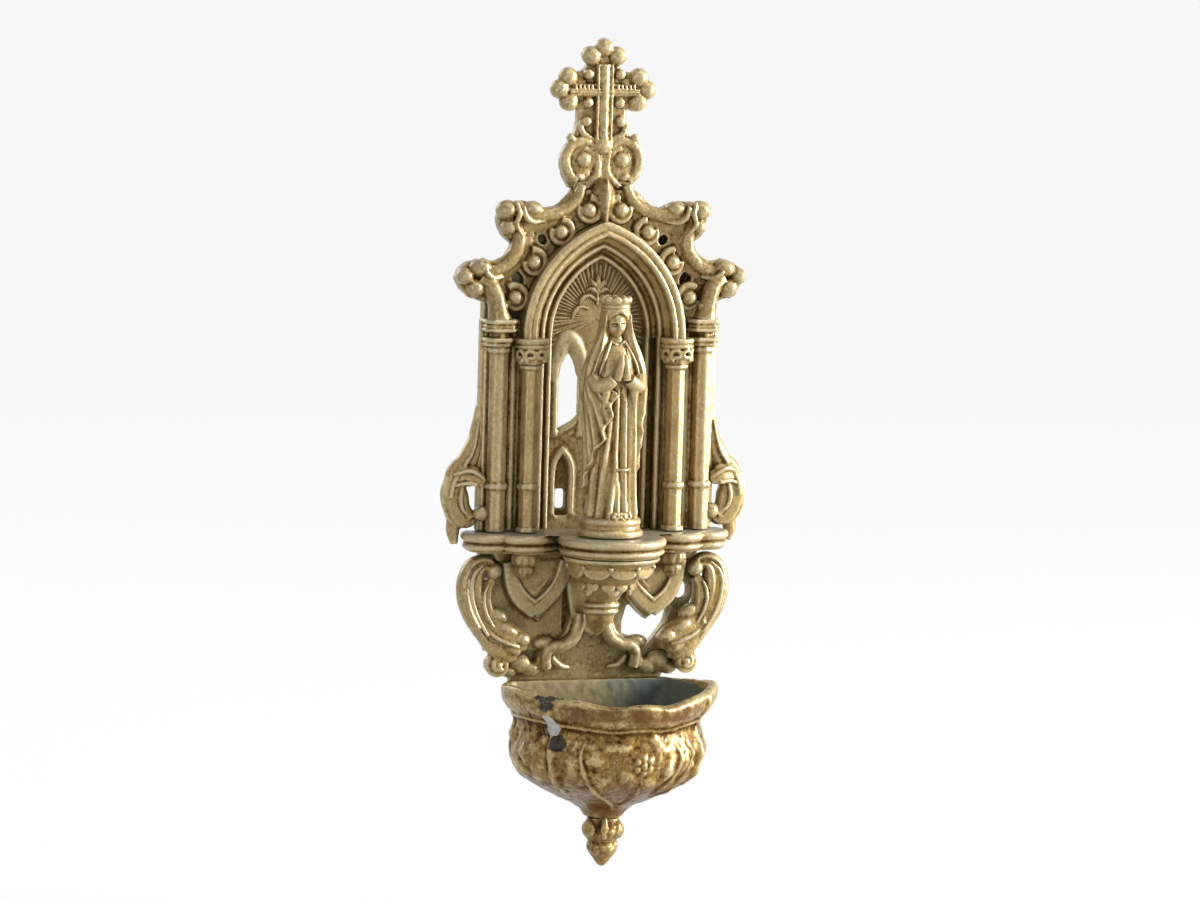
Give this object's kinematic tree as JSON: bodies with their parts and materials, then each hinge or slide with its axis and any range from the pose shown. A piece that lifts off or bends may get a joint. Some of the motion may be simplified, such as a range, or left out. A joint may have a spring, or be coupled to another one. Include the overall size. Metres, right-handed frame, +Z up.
{
  "type": "holy water stoup",
  "caption": "Wall-hung gothic stoup: pointed crocketed canopy over a niche with a praying figure, moulded shelf, openwork apron, and an open round basin for water with a pendant.",
  "frame": {"origin": "on the back plate's wall face, in the middle of the width, at the height of the shelf top", "axes": "+Z up, +Y into the wall, so the front faces -Y, and +X to the viewer's right"},
  "size_m": [0.1184, 0.0644, 0.3001],
  "materials": {
    "gilt": "satin",
    "pale_gilt": "satin",
    "brown_gilt": "satin",
    "steel": "satin"
  },
  "bodies": {
    "root": {"back_plate": "brown_gilt", "canopy": "gilt", "arch_moulding": "gilt", "cross_finial": "pale_gilt", "right_pier": "gilt", "left_pier": "gilt", "right_column": "pale_gilt", "left_column": "pale_gilt", "right_side_scroll": "pale_gilt", "left_side_scroll": "pale_gilt", "shelf": "gilt", "statue": "gilt", "corbel": "pale_gilt", "right_shelf_boss": "gilt", "left_shelf_boss": "gilt", "apron_tracery": "gilt", "right_apron_scroll": "pale_gilt", "left_apron_scroll": "pale_gilt", "basin": "brown_gilt", "pendant": "brown_gilt", "right_canopy_screw": "steel", "left_canopy_screw": "steel", "right_pier_screw": "steel", "left_pier_screw": "steel", "right_shelf_screw": "steel", "left_shelf_screw": "steel", "right_basin_screw": "steel", "left_basin_screw": "steel", "corbel_screw": "steel", "statue_screw": "steel", "finial_pin": "steel", "pendant_stud": "steel"}
  },
  "joints": []
}
